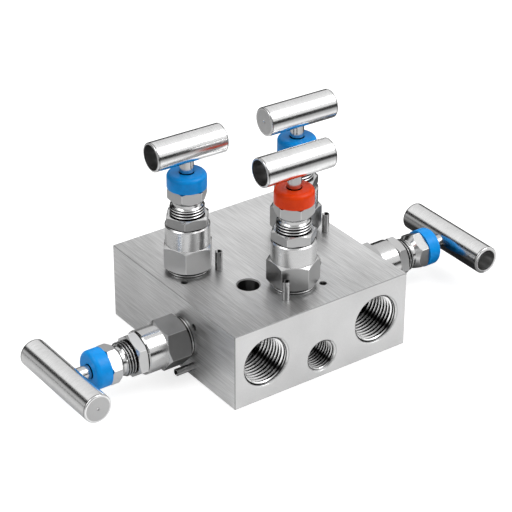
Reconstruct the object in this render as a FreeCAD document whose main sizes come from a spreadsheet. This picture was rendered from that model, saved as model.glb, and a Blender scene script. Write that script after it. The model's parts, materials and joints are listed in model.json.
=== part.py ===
import FreeCAD, Part

import math
import os
import re
import Sketcher

# Instrument valve manifold: a bar-stock block with five needle valves.
# Frame: origin at the centre of the block's underside, +Z up, ports to the front (-Y).

# Driving dimensions, in millimetres and degrees.
SIZES = {
    "block_width": 84.0,
    "block_depth": 87.0,
    "block_height": 33.2,
    "block_chamfer": 0.3,
    # Ports: tapped mouths in the front and rear faces, their axes 54 mm apart.
    "port_inset": 15.0,
    "port_height": 16.7,
    "port_radius": 10.5,
    "port_depth": 20.0,
    "vent_port_height": 9.5,
    "vent_port_radius": 6.85,
    "vent_port_depth": 14.0,
    "mouth_chamfer": 0.45,
    "drill_point_half_angle": 59.0,
    # Mounting holes, straight down through the block.
    "mounting_spacing": 30.0,
    "mounting_inset": 29.2,
    "mounting_hole_radius": 4.5,
    # Where the valves stand, from the block's nearest side, front or rear face.
    "equalizer_side_inset": 15.2,
    "equalizer_rear_inset": 32.7,
    "vent_inset": 19.8,
    "isolator_inset": 36.3,
    "isolator_height": 15.1,
    # Seat and passages inside the block.
    "chamber_radius": 5.0,
    "chamber_height": 3.0,
    "orifice_radius": 2.0,
    "passage_radius": 2.0,
    "inlet_radius": 1.4,
    "inlet_overrun": 2.0,
    "passage_inset": 17.0,
    "gallery_radius": 1.4,
    "plug_radius": 2.5,
    "plug_length": 5.0,
    "plug_socket_across": 2.5,
    "plug_socket_depth": 2.5,
    # Bonnet.
    "shank_radius": 8.0,
    "shank_depth": 10.0,
    "collar_radius": 8.7,
    "collar_height": 1.75,
    "bonnet_across": 18.6,
    "bonnet_hexagon_height": 10.35,
    "barrel_radius": 9.1,
    "barrel_height": 8.6,
    "barrel_chamfer": 0.5,
    "packing_floor": 6.0,
    "packing_box_radius": 5.5,
    "packing_height": 4.5,
    "gland_height": 2.0,
    "bolt_socket_floor": 12.0,
    # Packing bolt and its lock nut.
    "bolt_radius": 7.0,
    "thread_root_radius": 6.5,
    "thread_shown": 4.3,
    "thread_chamfer": 0.6,
    "neck_radius": 5.9,
    "neck_height": 1.2,
    "bolt_across": 14.2,
    "bolt_hexagon_height": 6.3,
    "bolt_underside_angle": 45.0,
    "nut_across": 16.1,
    "nut_height": 4.5,
    "hexagon_inset": 0.15,
    "hexagon_chamfer_angle": 30.0,
    # Plastic dust cap.
    "cap_radius": 8.0,
    "cap_height": 6.2,
    "cap_round": 1.8,
    "cap_top": 1.4,
    "cap_wall": 1.5,
    "cap_hole_radius": 3.15,
    # Stem and needle.
    "stem_radius": 2.9,
    "stem_thread_radius": 4.0,
    "stem_chamfer": 0.4,
    "stem_reach": 3.0,
    "stem_flat_depth": 0.4,
    "stem_flat_height": 5.4,
    "travel": 4.0,
    "stop_gap": 0.2,
    "needle_radius": 3.4,
    "needle_tip_radius": 0.8,
    "needle_half_angle": 30.0,
    "needle_guide_height": 1.5,
    "spigot_radius": 1.5,
    "spigot_length": 1.5,
    "button_radius": 2.4,
    "button_height": 1.2,
    # T-bar handles: short ones on top, long ones at the sides.
    "bar_radius": 6.0,
    "short_bar_length": 32.0,
    "long_bar_length": 48.0,
    "short_bar_bore_radius": 5.2,
    "long_bar_bore_radius": 4.7,
    "bar_web": 6.0,
    "bar_edge_round": 0.5,
    "bar_above_cap": 10.6,
    "centre_mark_radius": 0.8,
    "centre_mark_depth": 0.4,
    "handle_screw_radius": 2.5,
    "handle_screw_length": 6.0,
    "handle_screw_socket_across": 2.5,
    "handle_screw_socket_depth": 2.5,
    # Lock pins: slotted spring pins beside the bonnets.
    "pin_radius": 1.5,
    "pin_bore_radius": 1.15,
    "pin_slot_width": 0.6,
    "pin_shown": 8.2,
    "pin_buried": 6.0,
    "pin_circle_radius": 12.4,
    "spare_circle_radius": 11.9,
    # Clearances.
    "running_clearance": 0.05,
    "fit_clearance": 0.03,
    "seat_clearance": 0.06,
    "end_play": 0.05,
}

doc = FreeCAD.newDocument("valve_manifold")
sheet = doc.addObject("Spreadsheet::Sheet", "sizes")
for row, (alias, number) in enumerate(SIZES.items(), start=1):
    sheet.set(f"A{row}", alias.replace("_", " "))
    sheet.set(f"B{row}", str(number))
    sheet.setAlias(f"B{row}", alias)
doc.recompute()

# Places in the block that keep their distance from its faces; a side name says from which.
PORT_ACROSS = "(block_width / 2 - port_inset)"
PASSAGE_ACROSS = "(block_width / 2 - passage_inset)"
EQUALIZER_ACROSS = "(block_width / 2 - equalizer_side_inset)"
EQUALIZER_LINE = "(block_depth / 2 - equalizer_rear_inset)"
VENT_LINE = "(vent_inset - block_depth / 2)"
ISOLATOR_LINE = "(isolator_inset - block_depth / 2)"
MOUNTING_LINE = "(mounting_inset - block_depth / 2)"

# Heights along a valve's axis, measured out of the block's face.
BONNET_TOP = "(collar_height + bonnet_hexagon_height + barrel_height)"
BOLT_FOOT = "(packing_floor + packing_height + gland_height)"
NUT_TOP = f"({BONNET_TOP} + nut_height)"
NECK_FOOT = f"({NUT_TOP} + thread_shown)"
BOLT_HEXAGON_FOOT = f"({NECK_FOOT} + neck_height)"
CAP_FOOT = f"({BOLT_HEXAGON_FOOT} + bolt_hexagon_height)"
CAP_TOP = f"({CAP_FOOT} + cap_height)"
BAR_AXIS = f"({CAP_TOP} + bar_above_cap)"

# The seat is the chamber's floor; the needle's cone stops just short of its edge.
SEAT = "(shank_depth + chamber_height)"
NEEDLE_SLOPE = "tan(needle_half_angle)"
NEEDLE_TIP = f"({SEAT} + (orifice_radius - seat_clearance - needle_tip_radius) / {NEEDLE_SLOPE})"
CONE_HEIGHT = f"((needle_radius - needle_tip_radius) / {NEEDLE_SLOPE})"
NEEDLE_SHOULDER = f"({CONE_HEIGHT} + needle_guide_height)"
STEM_FOOT = f"({NEEDLE_TIP} - {NEEDLE_SHOULDER} - end_play)"
STEM_THREAD_LENGTH = f"({STEM_FOOT} + packing_floor - travel - stop_gap)"
STEM_LENGTH = f"({STEM_FOOT} + {BAR_AXIS} + stem_reach)"
STEM_BORE = "(stem_radius + running_clearance)"
BOSS_RADIUS = "(cap_radius - cap_wall - fit_clearance)"

# Each valve: its foot on the block, the face it stands on, how far its hexagons are turned
# (bonnet, nut, packing bolt), its T-bar and the angles of its lock pin and spare pin hole.
TOP_HANDLE_TURN = -2.0
VALVES = {
    "left_isolate": {
        "face": "left", "place": (ISOLATOR_LINE, "isolator_height"), "bar": "long",
        "turns": (48.6, 37.2, 10.0), "open_end": 0.0, "pin": 127.5, "spare": 225.7,
    },
    "right_isolate": {
        "face": "right", "place": (ISOLATOR_LINE, "isolator_height"), "bar": "long",
        "turns": (12.5, 12.5, 33.0), "open_end": 180.0, "pin": 232.5, "spare": 134.3,
    },
    "left_equalize": {
        "face": "top", "place": (f"-{EQUALIZER_ACROSS}", EQUALIZER_LINE), "bar": "short",
        "turns": (51.9, 50.0, 42.0), "open_end": 180.0 + TOP_HANDLE_TURN,
        "pin": -42.0, "spare": 228.9,
    },
    "right_equalize": {
        "face": "top", "place": (EQUALIZER_ACROSS, EQUALIZER_LINE), "bar": "short",
        "turns": (28.0, 37.6, 13.0), "open_end": TOP_HANDLE_TURN,
        "pin": -42.0, "spare": 228.9,
    },
    "vent": {
        "face": "top", "place": ("0", VENT_LINE), "bar": "short",
        "turns": (28.0, 37.6, 13.0), "open_end": 180.0 + TOP_HANDLE_TURN,
        "pin": 220.5, "spare": -34.7,
    },
}

X = FreeCAD.Vector(1, 0, 0)
Y = FreeCAD.Vector(0, 1, 0)
Z = FreeCAD.Vector(0, 0, 1)
# A valve's own Z points out of the block; its own X is the direction its angles start from.
FACE_TURN = {
    "top": FreeCAD.Rotation(X, Y, Z),
    "left": FreeCAD.Rotation(Y, -Z, -X),
    "right": FreeCAD.Rotation(Y, Z, X),
}
# Tools that cut into the block point inward from a face along these directions.
INWARD = {
    "down": FreeCAD.Rotation(Z, -Z),
    "back": FreeCAD.Rotation(Z, Y),
    "forward": FreeCAD.Rotation(Z, -Y),
    "to_right": FreeCAD.Rotation(Z, X),
    "to_left": FreeCAD.Rotation(Z, -X),
}
FACE_INWARD = {"top": "down", "left": "to_right", "right": "to_left"}
LEFT, RIGHT = "-block_width / 2", "block_width / 2"
FRONT, REAR = "-block_depth / 2", "block_depth / 2"

ALIAS_WORDS = re.compile(r"\b(" + "|".join(sorted(SIZES, key=len, reverse=True)) + r")\b")


def formula(text):
    """The same formula with each size pointed at its cell in the sheet."""
    return ALIAS_WORDS.sub(r"sizes.\1", text)


def bind(thing, path, text):
    thing.setExpression(path, formula(text))


def size(alias):
    return float(sheet.get(alias))


def place(thing, base, rotation):
    """Seat a piece: its place follows the sheet, its direction is fixed."""
    thing.Placement = FreeCAD.Placement(FreeCAD.Vector(0, 0, 0), rotation)
    for axis, text in zip("xyz", base):
        bind(thing, f"Placement.Base.{axis}", text)


def on_face(valve, along, aside=("0", "0")):
    """A point at a height along a valve's axis, moved aside in the valve's own X and Y."""
    first, second = valve["place"]
    across, up = aside
    if valve["face"] == "top":
        return (f"{first} + {across}", f"{second} + {up}", f"block_height + {along}")
    if valve["face"] == "left":
        return (f"{LEFT} - ({along})", f"{first} + {across}", f"{second} - ({up})")
    return (f"{RIGHT} + {along}", f"{first} + {across}", f"{second} + {up}")


def around(circle, angle):
    """How far aside a place lies on a circle about a valve's axis."""
    turn = math.radians(angle)
    return f"{math.cos(turn):.9f} * {circle}", f"{math.sin(turn):.9f} * {circle}"


def seat(thing, valve, along, turn=0.0, tip=None):
    """Put a finished piece on its valve, turned about the valve's axis."""
    rotation = FACE_TURN[valve["face"]].multiply(FreeCAD.Rotation(Z, turn))
    if tip is not None:
        rotation = rotation.multiply(tip)
    place(thing, on_face(valve, along), rotation)


def new_body(name):
    body = doc.addObject("PartDesign::Body", name)
    body.Label = name
    return body


def outline(body, name, corners, plane="XZ_Plane"):
    """A closed outline of straight sides, each corner given as (radius, height) formulas."""
    sketch = body.newObject("Sketcher::SketchObject", name)
    planes = [item for item in body.Origin.OriginFeatures if item.Role == plane]
    sketch.AttachmentSupport = (planes[0], [""])
    sketch.MapMode = "FlatFace"
    count = len(corners)
    ring = []
    for i in range(count):
        angle = 2 * math.pi * i / count
        ring.append(FreeCAD.Vector(20 + 10 * math.cos(angle), 20 + 10 * math.sin(angle), 0))
    for i in range(count):
        sketch.addGeometry(Part.LineSegment(ring[i], ring[(i + 1) % count]), False)
    for i in range(count):
        sketch.addConstraint(Sketcher.Constraint("Coincident", i, 2, (i + 1) % count, 1))
    for i, corner in enumerate(corners):
        for kind, part, text in (("DistanceX", 0, corner[0]), ("DistanceY", 1, corner[1])):
            same_as_before = i > 0 and corners[i - 1][part] == text
            if text == "0":
                sketch.addConstraint(Sketcher.Constraint("PointOnObject", i, 1, -2 if part == 0 else -1))
            elif same_as_before:
                side = "Vertical" if part == 0 else "Horizontal"
                sketch.addConstraint(Sketcher.Constraint(side, i - 1))
            else:
                start = ring[i].x if part == 0 else ring[i].y
                index = sketch.addConstraint(Sketcher.Constraint(kind, -1, 1, i, 1, start))
                bind(sketch, f"Constraints[{index}]", text)
    return sketch


def turned(body, name, corners, kind="PartDesign::Revolution"):
    """Turn an outline a full circle about the body's Z axis, as material or as a cut."""
    sketch = outline(body, f"{name}_outline", corners)
    feature = body.newObject(kind, name)
    feature.Profile = sketch
    feature.ReferenceAxis = (sketch, ["V_Axis"])
    feature.Angle = 360
    body.Tip = feature
    return feature


def bored(body, name, corners):
    return turned(body, name, corners, "PartDesign::Groove")


def hexagon(body, name, across, height, foot="0", kind="PartDesign::AdditivePrism"):
    """A six-sided prism about the body's Z axis, given its size across flats."""
    prism = body.newObject(kind, name)
    prism.Polygon = 6
    bind(prism, "Circumradius", f"{across} / 2 / cos(30)")
    bind(prism, "Height", height)
    bind(prism, "Placement.Base.z", foot)
    body.Tip = prism
    return prism


def hexagon_chamfer(body, name, across, level, upward):
    """The turned 30 degree chamfer that rounds a hexagon's corners at one end."""
    inner = f"({across} / 2 - hexagon_inset)"
    outer = f"({across} * 0.6)"
    drop = f"({outer} - {inner}) * tan(hexagon_chamfer_angle)"
    edge = f"{level} - {drop}" if upward else f"{level} + {drop}"
    return bored(body, name, [(inner, level), (outer, level), (outer, edge)])


def hexagon_cone(body, name, across, level):
    """The steep cone under the packing bolt's hexagon, from its neck out past its corners."""
    outer = f"({across} * 0.6)"
    rise = f"({outer} - neck_radius) * tan(bolt_underside_angle)"
    return bored(body, name, [("neck_radius", level), (outer, level), (outer, f"{level} + {rise}")])


def round_edges(body, name, radius, chosen):
    """Round the edges of the body's last feature that the test chooses."""
    doc.recompute()
    base = body.Tip
    picked = [f"Edge{i}" for i, edge in enumerate(base.Shape.Edges, start=1) if chosen(edge)]
    fillet = body.newObject("PartDesign::Fillet", name)
    fillet.Base = (base, picked)
    bind(fillet, "Radius", radius)
    body.Tip = fillet
    return fillet


def rim(radius, level):
    """A test for the circular edge of a given radius at a given height."""
    def chosen(edge):
        curve = edge.Curve
        round_edge = isinstance(curve, Part.Circle)
        return round_edge and abs(curve.Radius - radius) < 1e-4 and abs(curve.Center.z - level) < 1e-4
    return chosen


def cylinder(name, base, direction, radius, height):
    tool = doc.addObject("Part::Cylinder", name)
    bind(tool, "Radius", radius)
    bind(tool, "Height", height)
    place(tool, base, direction)
    return tool


def cone(name, base, direction, first_radius, last_radius, height):
    tool = doc.addObject("Part::Cone", name)
    bind(tool, "Radius1", first_radius)
    bind(tool, "Radius2", last_radius)
    bind(tool, "Height", height)
    place(tool, base, direction)
    return tool


def fused(name, pieces):
    union = doc.addObject("Part::MultiFuse", name)
    union.Shapes = pieces
    return union


def cut(name, base, tool):
    result = doc.addObject("Part::Cut", name)
    result.Base = base
    result.Tool = tool
    return result


def tapped_port(name, across, height, face, radius, depth):
    """A port drilled square into the front or rear face, with a mouth chamfer and drill point."""
    direction = INWARD["back" if face == "front" else "forward"]
    inward = "+" if face == "front" else "-"
    surface = FRONT if face == "front" else REAR
    bore = cylinder(name, (across, surface, height), direction, radius, depth)
    mouth = cone(f"{name}_mouth", (across, surface, height), direction,
                 f"{radius} + mouth_chamfer", radius, "mouth_chamfer")
    bottom = (across, f"{surface} {inward} {depth}", height)
    point = cone(f"{name}_point", bottom, direction, radius, "0",
                 f"{radius} / tan(drill_point_half_angle)")
    return [bore, mouth, point]


def valve_pocket(name, valve):
    """The bonnet's bore, the flow chamber, the orifice and the holes for lock pins."""
    direction = INWARD[FACE_INWARD[valve["face"]]]
    shank = cylinder(f"{name}_bore", on_face(valve, "0"), direction,
                     "shank_radius + fit_clearance", "shank_depth")
    chamber = cylinder(f"{name}_chamber", on_face(valve, "(-shank_depth)"), direction,
                       "chamber_radius", "chamber_height")
    pockets = [shank, chamber]
    for key in ("pin", "spare"):
        aside = around(f"{key}_circle_radius", valve[key])
        pockets.append(cylinder(f"{name}_{key}_hole", on_face(valve, "0", aside), direction,
                                "pin_radius + fit_clearance", "pin_buried"))
    return pockets


def orifice(name, valve, length):
    """The drilling from the seat down to the passage that the valve opens or closes."""
    direction = INWARD[FACE_INWARD[valve["face"]]]
    return cylinder(f"{name}_orifice", on_face(valve, f"(-{SEAT})"), direction,
                    "orifice_radius", length)


def make_block():
    blank = doc.addObject("Part::Box", "block_blank")
    bind(blank, "Length", "block_width")
    bind(blank, "Width", "block_depth")
    bind(blank, "Height", "block_height")
    place(blank, (LEFT, FRONT, "0"), FreeCAD.Rotation())
    body = doc.addObject("Part::Chamfer", "block_edges")
    body.Base = blank
    doc.recompute()
    chamfer = size("block_chamfer")
    body.Edges = [(i, chamfer, chamfer) for i in range(1, len(blank.Shape.Edges) + 1)]

    tools = []
    for side, sign in (("left", "-"), ("right", "")):
        across = f"{sign}{PORT_ACROSS}"
        for use, face in (("process", "front"), ("instrument", "rear")):
            tools += tapped_port(f"{use}_port_{side}", across, "port_height", face,
                                 "port_radius", "port_depth")
    tools += tapped_port("vent_port", "0", "vent_port_height", "front",
                         "vent_port_radius", "vent_port_depth")

    for name, valve in VALVES.items():
        tools += valve_pocket(name, valve)

    # From each process port back to the side valve's chamber, then in to the long passage.
    chamber_middle = "(block_width / 2 - shank_depth - chamber_height / 2)"
    inlet_start = "-block_depth / 2 + port_depth"
    inlet_end = f"{ISOLATOR_LINE} - chamber_radius + inlet_overrun"
    passage_start = "block_depth / 2 - port_depth"
    passage_end = f"{ISOLATOR_LINE} - passage_radius"
    for side, sign in (("left", "-"), ("right", "")):
        tools.append(cylinder(f"inlet_{side}", (f"{sign}{chamber_middle}", inlet_start, "isolator_height"),
                              INWARD["back"], "inlet_radius", f"{inlet_end} - ({inlet_start})"))
        passage = (f"{sign}{PASSAGE_ACROSS}", passage_start, "isolator_height")
        tools.append(cylinder(f"passage_{side}", passage, INWARD["forward"],
                              "passage_radius", f"{passage_start} - ({passage_end})"))
        tools.append(orifice(f"{side}_isolate", VALVES[f"{side}_isolate"],
                             f"block_width / 2 - {SEAT} - {PASSAGE_ACROSS}"))
        tools.append(orifice(f"{side}_equalize", VALVES[f"{side}_equalize"],
                             f"block_height - {SEAT} - isolator_height"))
    tools.append(orifice("vent", VALVES["vent"], f"block_height - {SEAT} - vent_port_height"))
    vent_bottom = "-block_depth / 2 + vent_port_depth"
    tools.append(cylinder("vent_passage", ("0", vent_bottom, "vent_port_height"), INWARD["back"],
                          "passage_radius", f"{VENT_LINE} + passage_radius - ({vent_bottom})"))

    # The gallery joins the three top valves' chambers: one drilling across, one from the rear.
    gallery_height = "(block_height - shank_depth - chamber_height / 2)"
    tools.append(cylinder("cross_gallery", (RIGHT, EQUALIZER_LINE, gallery_height), INWARD["to_left"],
                          "gallery_radius", f"block_width / 2 + {EQUALIZER_ACROSS}"))
    tools.append(cylinder("rear_gallery", ("0", REAR, gallery_height), INWARD["forward"],
                          "gallery_radius", f"block_depth / 2 - {VENT_LINE}"))
    tools.append(cylinder("cross_plug_hole", (RIGHT, EQUALIZER_LINE, gallery_height), INWARD["to_left"],
                          "plug_radius + fit_clearance", "plug_length"))
    tools.append(cylinder("rear_plug_hole", ("0", REAR, gallery_height), INWARD["forward"],
                          "plug_radius + fit_clearance", "plug_length"))

    for side, sign in (("left", "-"), ("right", "")):
        top = (f"{sign}mounting_spacing / 2", MOUNTING_LINE, "block_height")
        foot = (f"{sign}mounting_spacing / 2", MOUNTING_LINE, "mouth_chamfer")
        wide = "mounting_hole_radius + mouth_chamfer"
        tools.append(cylinder(f"mounting_hole_{side}", top, INWARD["down"],
                              "mounting_hole_radius", "block_height"))
        tools.append(cone(f"mounting_mouth_{side}", top, INWARD["down"],
                          wide, "mounting_hole_radius", "mouth_chamfer"))
        tools.append(cone(f"mounting_foot_{side}", foot, INWARD["down"],
                          "mounting_hole_radius", wide, "mouth_chamfer"))
    block = cut("block", body, fused("block_drillings", tools))
    block.Label = "block"
    return block


def make_bonnet(name, valve):
    body = new_body(f"{name}_bonnet")
    hexagon_foot = "(shank_depth + collar_height)"
    hexagon_top = f"({hexagon_foot} + bonnet_hexagon_height)"
    top = f"(shank_depth + {BONNET_TOP})"
    turned(body, f"{name}_bonnet_turning", [
        ("0", "0"),
        ("shank_radius - barrel_chamfer", "0"),
        ("shank_radius", "barrel_chamfer"),
        ("shank_radius", "shank_depth"),
        ("collar_radius", "shank_depth"),
        ("collar_radius", hexagon_foot),
        ("barrel_radius", hexagon_foot),
        ("barrel_radius", f"{top} - barrel_chamfer"),
        ("barrel_radius - barrel_chamfer", top),
        ("0", top),
    ])
    hexagon(body, f"{name}_bonnet_hexagon", "bonnet_across", "bonnet_hexagon_height", hexagon_foot)
    hexagon_chamfer(body, f"{name}_bonnet_lower_chamfer", "bonnet_across", hexagon_foot, False)
    hexagon_chamfer(body, f"{name}_bonnet_upper_chamfer", "bonnet_across", hexagon_top, True)
    packing_floor = "(shank_depth + packing_floor)"
    socket_floor = "(shank_depth + bolt_socket_floor)"
    bored(body, f"{name}_bonnet_bore", [
        ("0", "0"),
        ("stem_thread_radius + running_clearance", "0"),
        ("stem_thread_radius + running_clearance", packing_floor),
        ("packing_box_radius", packing_floor),
        ("packing_box_radius", socket_floor),
        ("bolt_radius + fit_clearance", socket_floor),
        ("bolt_radius + fit_clearance", top),
        ("0", top),
    ])
    seat(body, valve, "(-shank_depth)", valve["turns"][0])
    return body


def make_ring(name, valve, along, outer, height):
    """A plain ring around the stem."""
    body = new_body(name)
    turned(body, f"{name}_turning", [(STEM_BORE, "0"), (outer, "0"), (outer, height), (STEM_BORE, height)])
    seat(body, valve, along)
    return body


def make_packing_bolt(name, valve):
    body = new_body(f"{name}_packing_bolt")
    nut_top = f"({NUT_TOP} - {BOLT_FOOT})"
    neck_foot = f"({NECK_FOOT} - {BOLT_FOOT})"
    hexagon_foot = f"({BOLT_HEXAGON_FOOT} - {BOLT_FOOT})"
    hexagon_top = f"({CAP_FOOT} - {BOLT_FOOT})"
    boss_top = f"({CAP_TOP} - {BOLT_FOOT} - cap_top)"
    turned(body, f"{name}_packing_bolt_turning", [
        ("0", "0"),
        ("bolt_radius - thread_chamfer", "0"),
        ("bolt_radius", "thread_chamfer"),
        ("bolt_radius", nut_top),
        ("thread_root_radius", nut_top),
        ("thread_root_radius", f"{neck_foot} - thread_chamfer"),
        ("neck_radius", neck_foot),
        ("neck_radius", hexagon_top),
        (BOSS_RADIUS, hexagon_top),
        (BOSS_RADIUS, boss_top),
        ("0", boss_top),
    ])
    hexagon(body, f"{name}_bolt_hexagon", "bolt_across", "bolt_hexagon_height", hexagon_foot)
    hexagon_cone(body, f"{name}_bolt_underside", "bolt_across", hexagon_foot)
    hexagon_chamfer(body, f"{name}_bolt_upper_chamfer", "bolt_across", hexagon_top, True)
    bored(body, f"{name}_bolt_bore", [
        ("0", "0"),
        (STEM_BORE, "0"),
        (STEM_BORE, boss_top),
        ("0", boss_top),
    ])
    seat(body, valve, BOLT_FOOT, valve["turns"][2])
    return body


def make_lock_nut(name, valve):
    body = new_body(f"{name}_lock_nut")
    hexagon(body, f"{name}_nut_hexagon", "nut_across", "nut_height")
    hexagon_chamfer(body, f"{name}_nut_lower_chamfer", "nut_across", "0", False)
    hexagon_chamfer(body, f"{name}_nut_upper_chamfer", "nut_across", "nut_height", True)
    bored(body, f"{name}_nut_bore", [
        ("0", "0"),
        ("bolt_radius + fit_clearance", "0"),
        ("bolt_radius + fit_clearance", "nut_height"),
        ("0", "nut_height"),
    ])
    seat(body, valve, BONNET_TOP, valve["turns"][1])
    return body


def make_dust_cap(name, valve):
    body = new_body(f"{name}_dust_cap")
    turned(body, f"{name}_cap_turning", [
        ("cap_radius - cap_wall", "0"),
        ("cap_radius", "0"),
        ("cap_radius", "cap_height"),
        ("cap_hole_radius", "cap_height"),
        ("cap_hole_radius", "cap_height - cap_top"),
        ("cap_radius - cap_wall", "cap_height - cap_top"),
    ])
    round_edges(body, f"{name}_cap_round", "cap_round", rim(size("cap_radius"), size("cap_height")))
    seat(body, valve, CAP_FOOT)
    return body


def make_stem(name, valve):
    """The screwed stem, hollow at its foot to hold the needle's button."""
    body = new_body(f"{name}_stem")
    neck_top = "(spigot_length - 2 * end_play)"
    pocket_top = f"({neck_top} + button_height + 2 * end_play)"
    turned(body, f"{name}_stem_turning", [
        ("spigot_radius + running_clearance", "0"),
        ("stem_thread_radius", "0"),
        ("stem_thread_radius", STEM_THREAD_LENGTH),
        ("stem_radius", STEM_THREAD_LENGTH),
        ("stem_radius", f"{STEM_LENGTH} - stem_chamfer"),
        ("stem_radius - stem_chamfer", STEM_LENGTH),
        ("0", STEM_LENGTH),
        ("0", pocket_top),
        ("button_radius + running_clearance", pocket_top),
        ("button_radius + running_clearance", neck_top),
        ("spigot_radius + running_clearance", neck_top),
    ])
    flat = body.newObject("PartDesign::SubtractiveBox", f"{name}_stem_flat")
    bind(flat, "Length", "stem_flat_depth")
    bind(flat, "Width", "2 * stem_radius")
    bind(flat, "Height", "stem_flat_height")
    bind(flat, "Placement.Base.x", "stem_radius - stem_flat_depth")
    bind(flat, "Placement.Base.y", "-stem_radius")
    bind(flat, "Placement.Base.z", f"{STEM_FOOT} + {BAR_AXIS} - stem_flat_height / 2")
    body.Tip = flat
    seat(body, valve, f"(-{STEM_FOOT})", valve["open_end"])
    return body


def make_needle(name, valve):
    """The tip that closes the seat; its button lets the stem turn without turning it."""
    body = new_body(f"{name}_needle")
    button_foot = f"({NEEDLE_SHOULDER} + spigot_length)"
    turned(body, f"{name}_needle_turning", [
        ("0", "0"),
        ("needle_tip_radius", "0"),
        ("needle_radius", CONE_HEIGHT),
        ("needle_radius", NEEDLE_SHOULDER),
        ("spigot_radius", NEEDLE_SHOULDER),
        ("spigot_radius", button_foot),
        ("button_radius", button_foot),
        ("button_radius", f"{button_foot} + button_height"),
        ("0", f"{button_foot} + button_height"),
    ])
    seat(body, valve, f"(-{NEEDLE_TIP})")
    return body


def make_t_bar(name, valve):
    """A solid round bar, bored out at one end, cross-drilled for the stem."""
    kind = valve["bar"]
    length = f"{kind}_bar_length"
    bore = f"{kind}_bar_bore_radius"
    body = new_body(f"{name}_t_bar")
    bore_floor = f"({length} / 2 + bar_web)"
    turned(body, f"{name}_bar_turning", [
        ("0", "centre_mark_depth"),
        ("centre_mark_radius", "0"),
        ("bar_radius", "0"),
        ("bar_radius", length),
        (bore, length),
        (bore, bore_floor),
        ("handle_screw_radius + fit_clearance", bore_floor),
        ("handle_screw_radius + fit_clearance", f"{length} / 2"),
        ("0", f"{length} / 2"),
    ])
    outer = size("bar_radius")
    closed_end = rim(outer, 0.0)
    open_end = rim(outer, size(length))
    round_edges(body, f"{name}_bar_rounds", "bar_edge_round",
                lambda edge: closed_end(edge) or open_end(edge))
    stem_hole = body.newObject("PartDesign::SubtractiveCylinder", f"{name}_stem_hole")
    stem_hole.Placement = FreeCAD.Placement(FreeCAD.Vector(0, 0, 0), FreeCAD.Rotation(Z, -X))
    bind(stem_hole, "Radius", "stem_radius + fit_clearance")
    bind(stem_hole, "Height", "bar_radius + stem_reach + fit_clearance")
    bind(stem_hole, "Placement.Base.x", "bar_radius")
    bind(stem_hole, "Placement.Base.z", f"{length} / 2")
    body.Tip = stem_hole
    return body


def lay_bar(thing, valve, along_bar):
    """Lay a piece along the T-bar: its own Z towards the open end, its own X down the stem."""
    turn = math.radians(valve["open_end"])
    rotation = FACE_TURN[valve["face"]].multiply(
        FreeCAD.Rotation(Z, valve["open_end"])).multiply(FreeCAD.Rotation(-Z, Y, X))
    aside = (f"{along_bar} * {math.cos(turn):.9f}", f"{along_bar} * {math.sin(turn):.9f}")
    place(thing, on_face(valve, BAR_AXIS, aside), rotation)


def make_handle_screw(name, valve):
    """The socket set screw that holds the T-bar on the stem's flat."""
    body = new_body(f"{name}_handle_screw")
    turned(body, f"{name}_screw_turning", [
        ("0", "0"),
        ("handle_screw_radius", "0"),
        ("handle_screw_radius", "handle_screw_length"),
        ("0", "handle_screw_length"),
    ])
    hexagon(body, f"{name}_screw_socket", "handle_screw_socket_across", "handle_screw_socket_depth",
            "handle_screw_length - handle_screw_socket_depth", "PartDesign::SubtractivePrism")
    lay_bar(body, valve, "(stem_radius - stem_flat_depth)")
    return body


def make_lock_pins():
    """Slotted spring pins, one beside each bonnet, that keep it from turning."""
    pins = []
    for name, valve in VALVES.items():
        aside = around("pin_circle_radius", valve["pin"])
        foot = on_face(valve, "(-pin_buried)", aside)
        outward = FACE_TURN[valve["face"]]
        length = "pin_buried + pin_shown"
        rod = cylinder(f"{name}_pin_rod", foot, outward, "pin_radius", length)
        bore = cylinder(f"{name}_pin_bore", foot, outward, "pin_bore_radius", length)
        slot = doc.addObject("Part::Box", f"{name}_pin_slot")
        bind(slot, "Length", "pin_slot_width")
        bind(slot, "Width", "pin_radius")
        bind(slot, "Height", length)
        slot_aside = (f"{aside[0]} - pin_slot_width / 2", aside[1])
        place(slot, on_face(valve, "(-pin_buried)", slot_aside), outward)
        pins.append(cut(f"{name}_pin", rod, fused(f"{name}_pin_hollow", [bore, slot])))
    group = doc.addObject("Part::Compound", "lock_pins")
    group.Label = "lock_pins"
    group.Links = pins
    return group


def make_gallery_plugs():
    """Flush socket screws that close the two gallery drillings."""
    height = "(block_height - shank_depth - chamber_height / 2)"
    places = {
        "cross": ((f"{RIGHT} - plug_length", EQUALIZER_LINE, height), FreeCAD.Rotation(Z, X)),
        "rear": (("0", f"{REAR} - plug_length", height), FreeCAD.Rotation(Z, Y)),
    }
    plugs = []
    for name, (base, outward) in places.items():
        rod = cylinder(f"{name}_plug_rod", base, outward, "plug_radius", "plug_length")
        socket = doc.addObject("Part::Prism", f"{name}_plug_socket")
        socket.Polygon = 6
        bind(socket, "Circumradius", "plug_socket_across / 2 / cos(30)")
        bind(socket, "Height", "plug_socket_depth")
        inset = "plug_length - plug_socket_depth"
        step = outward.multVec(Z)
        socket_base = [f"{text} + ({inset}) * {round(part)}" for text, part in zip(base, step)]
        place(socket, socket_base, outward)
        plugs.append(cut(f"{name}_plug", rod, socket))
    group = doc.addObject("Part::Compound", "gallery_plugs")
    group.Label = "gallery_plugs"
    group.Links = plugs
    return group


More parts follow.
